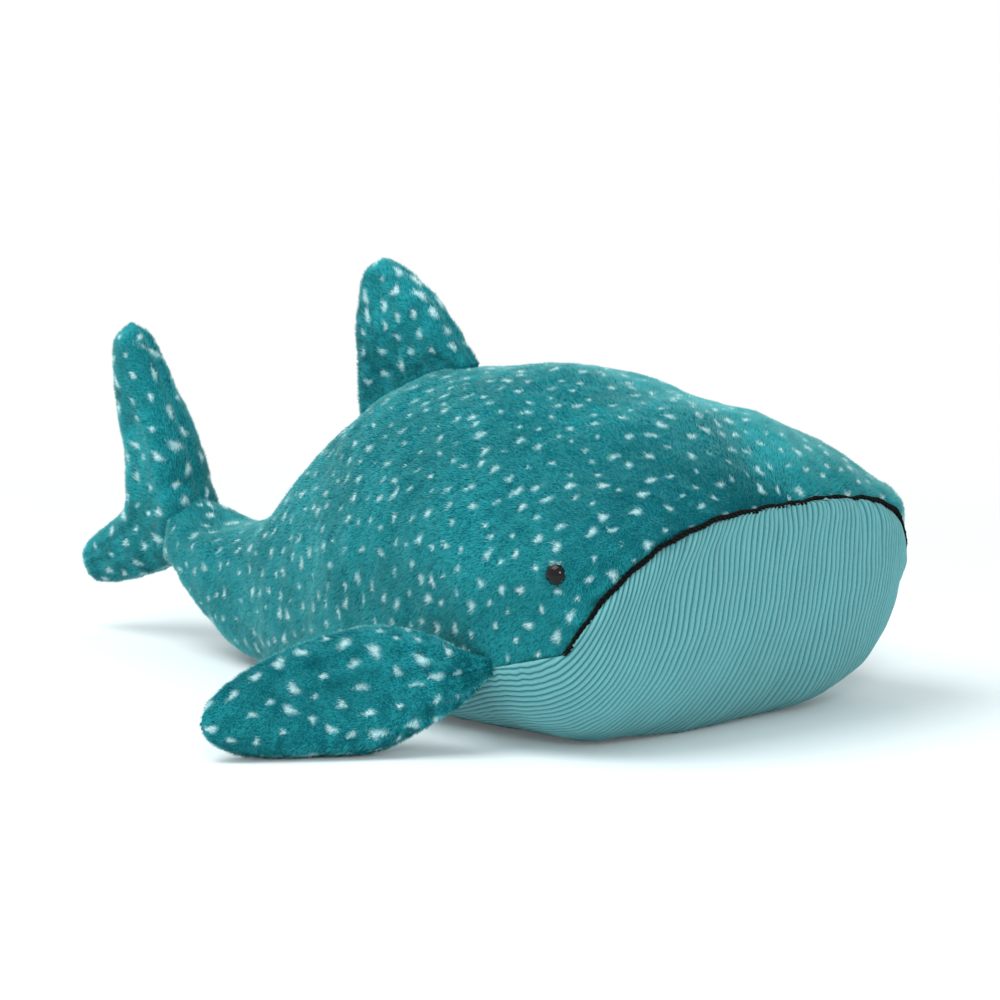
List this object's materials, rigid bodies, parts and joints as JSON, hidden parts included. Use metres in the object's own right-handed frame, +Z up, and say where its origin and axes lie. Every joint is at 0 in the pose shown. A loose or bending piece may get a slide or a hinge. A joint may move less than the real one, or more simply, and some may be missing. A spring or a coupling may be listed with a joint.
{
  "type": "plush whale shark",
  "caption": "Stuffed toy whale shark with spotted plush back, corduroy belly, corded mouth seam, safety eyes and soft sewn-on fins that swing on their seams.",
  "frame": {"origin": "under the middle of the toy, on the surface that its belly lies on", "axes": "+X points to the nose, +Y to the toy's own left, +Z up"},
  "size_m": [0.523, 0.4904, 0.2272],
  "materials": {
    "plush": "short teal plush pile with small pale spots",
    "corduroy": "fine pale teal corduroy",
    "cord": "black braided cord",
    "eye_plastic": "black gloss",
    "washer_plastic": "plain white moulded",
    "fibre": "loose white polyester fibre",
    "pouch_cloth": "plain woven cotton"
  },
  "bodies": {
    "body": {"back_panel_right": "plush", "back_panel_left": "plush", "belly_panel": "corduroy", "mouth_cord": "cord", "eye_right": "eye_plastic", "eye_left": "eye_plastic", "eye_washer_right": "washer_plastic", "eye_washer_left": "washer_plastic", "body_filling": "fibre", "pellet_pouch": "pouch_cloth"},
    "dorsal_fin": {"dorsal_face_right": "plush", "dorsal_face_left": "plush", "dorsal_filling": "fibre"},
    "tail_fin": {"tail_fin_face_right": "plush", "tail_fin_face_left": "plush", "tail_fin_filling": "fibre"},
    "pectoral_fin_right": {"pectoral_right_outer_face": "plush", "pectoral_right_inner_face": "plush", "pectoral_right_filling": "fibre"},
    "pectoral_fin_left": {"pectoral_left_outer_face": "plush", "pectoral_left_inner_face": "plush", "pectoral_left_filling": "fibre"}
  },
  "joints": [
    {"name": "dorsal_fin_tilt", "type": "hinge", "parent": "body", "child": "dorsal_fin", "pos_m": [0.0055, 0, 0.1587], "axis": [0.9207, 0, 0.3902], "range_deg": [-25, 25]},
    {"name": "tail_fin_swing", "type": "hinge", "parent": "body", "child": "tail_fin", "pos_m": [-0.1743, 0, 0.0674], "axis": [0.3755, 0, 0.9268], "range_deg": [-30, 30]},
    {"name": "pectoral_right_sweep", "type": "hinge", "parent": "body", "child": "pectoral_fin_right", "pos_m": [0.176, -0.1343, 0.044], "axis": [0, 0, 1], "range_deg": [-15, 40]},
    {"name": "pectoral_left_sweep", "type": "hinge", "parent": "body", "child": "pectoral_fin_left", "pos_m": [0.176, 0.1343, 0.044], "axis": [0, 0, -1], "range_deg": [-15, 40]}
  ]
}
